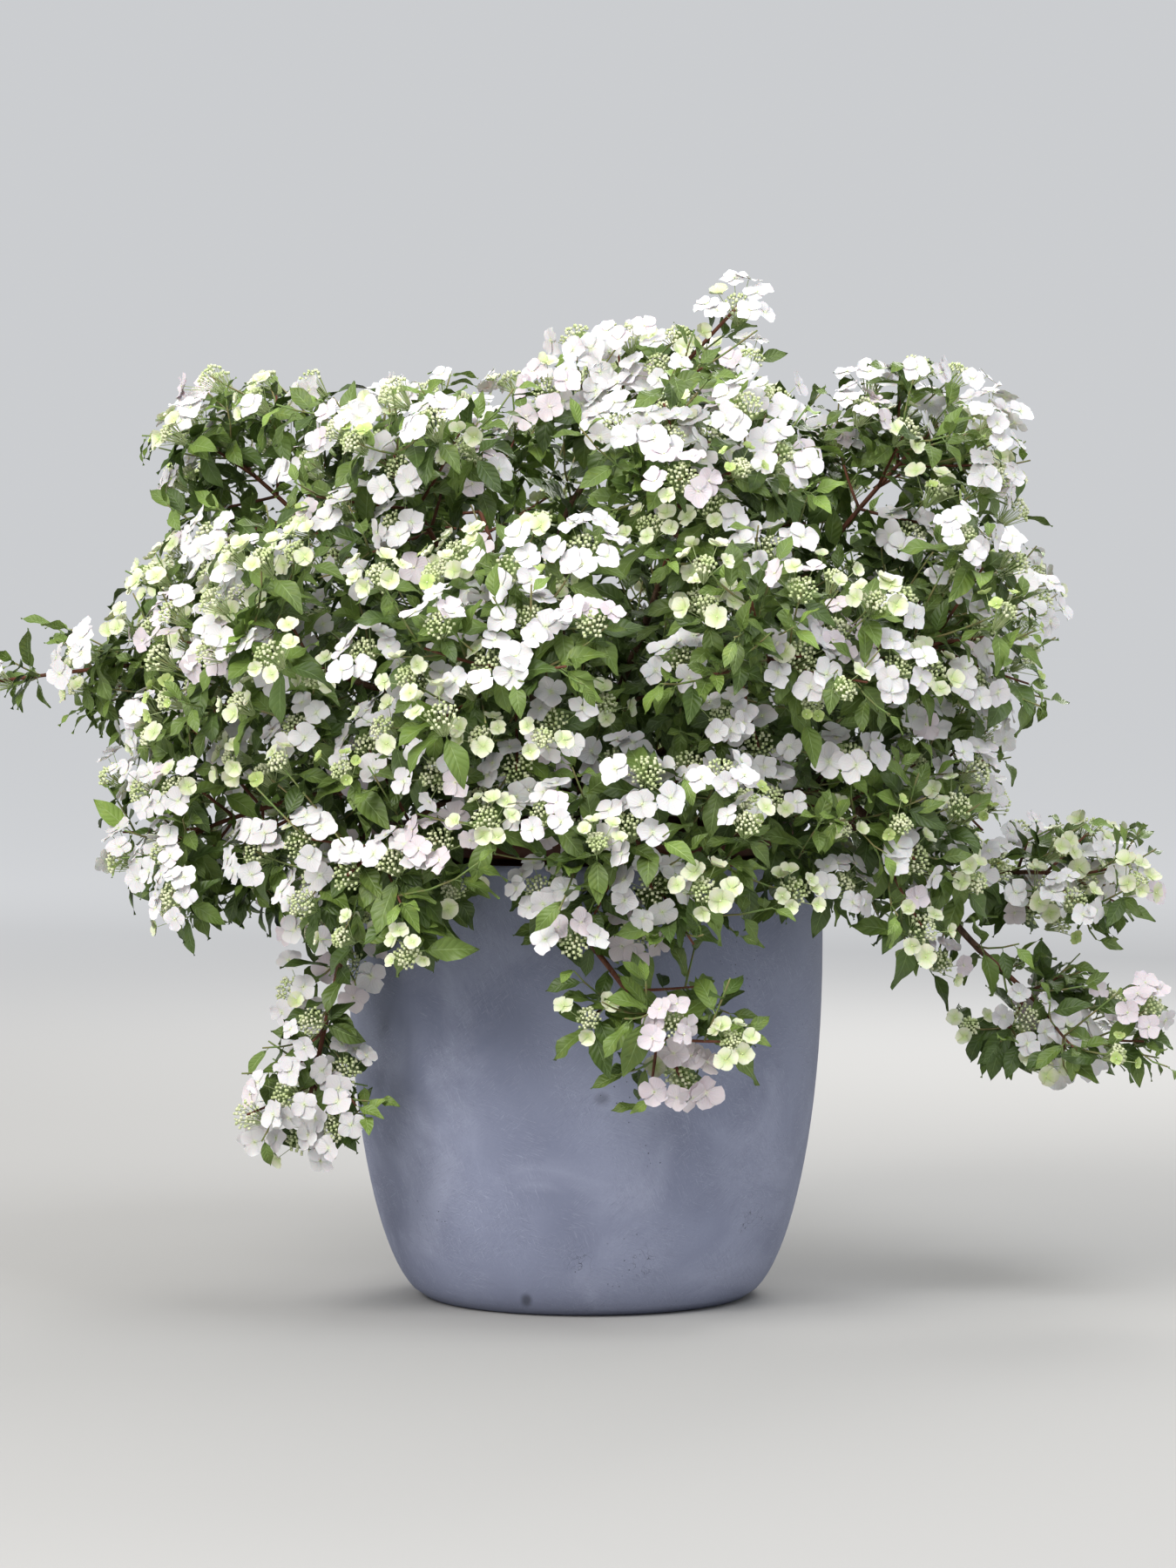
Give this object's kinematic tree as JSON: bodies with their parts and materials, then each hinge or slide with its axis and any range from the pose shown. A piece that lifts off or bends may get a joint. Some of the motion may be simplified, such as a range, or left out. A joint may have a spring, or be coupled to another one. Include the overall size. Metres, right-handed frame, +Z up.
{
  "type": "potted garland hydrangea shrub",
  "caption": "Flowering garland hydrangea with arching boughs, leafy sprays and flat flower heads, growing in a round grey planter with a rounded foot.",
  "frame": {"origin": "centre of the planter's flat underside, where it stands on the ground", "axes": "+Z up along the planter's axis, -Y towards the side that faces the viewer, +X to the viewer's right"},
  "size_m": [1.4461, 1.1159, 1.2502],
  "materials": {
    "planter": "matte",
    "inner_pot": "matte",
    "compost": "matte",
    "bark": "matte",
    "foliage": "matte"
  },
  "bodies": {
    "root": {"planter": "planter", "inner_pot": "inner_pot", "compost": "compost", "root_crown": "bark", "bough_top_middle": "bark", "bough_shoulder_left": "bark", "bough_shoulder_front_left": "bark", "bough_shoulder_front_right": "bark", "bough_shoulder_right": "bark", "bough_shoulder_back_right": "bark", "bough_shoulder_back_left": "bark", "bough_middle_left": "bark", "bough_middle_front_left": "bark", "bough_middle_front": "bark", "bough_middle_front_right": "bark", "bough_middle_right_front": "bark", "bough_middle_right": "bark", "bough_middle_back_right": "bark", "bough_middle_back": "bark", "bough_middle_back_left": "bark", "bough_lower_left": "bark", "bough_lower_front_left": "bark", "bough_lower_front": "bark", "bough_lower_front_right": "bark", "bough_lower_right": "bark", "bough_lower_back_right": "bark", "bough_lower_back": "bark", "bough_lower_back_left": "bark", "bough_right_low_spray": "bark", "bough_right_low_drop": "bark", "bough_left_hanging": "bark", "bough_front_hanging": "bark", "foliage_top_middle": "foliage", "foliage_shoulder_left": "foliage", "foliage_shoulder_front_left": "foliage", "foliage_shoulder_front_right": "foliage", "foliage_shoulder_right": "foliage", "foliage_shoulder_back_right": "foliage", "foliage_shoulder_back_left": "foliage", "foliage_middle_left": "foliage", "foliage_middle_front_left": "foliage", "foliage_middle_front": "foliage", "foliage_middle_front_right": "foliage", "foliage_middle_right_front": "foliage", "foliage_middle_right": "foliage", "foliage_middle_back_right": "foliage", "foliage_middle_back": "foliage", "foliage_middle_back_left": "foliage", "foliage_lower_left": "foliage", "foliage_lower_front_left": "foliage", "foliage_lower_front": "foliage", "foliage_lower_front_right": "foliage", "foliage_lower_right": "foliage", "foliage_lower_back_right": "foliage", "foliage_lower_back": "foliage", "foliage_lower_back_left": "foliage", "foliage_right_low_spray": "foliage", "foliage_right_low_drop": "foliage", "foliage_left_hanging": "foliage", "foliage_front_hanging": "foliage"}
  },
  "joints": []
}
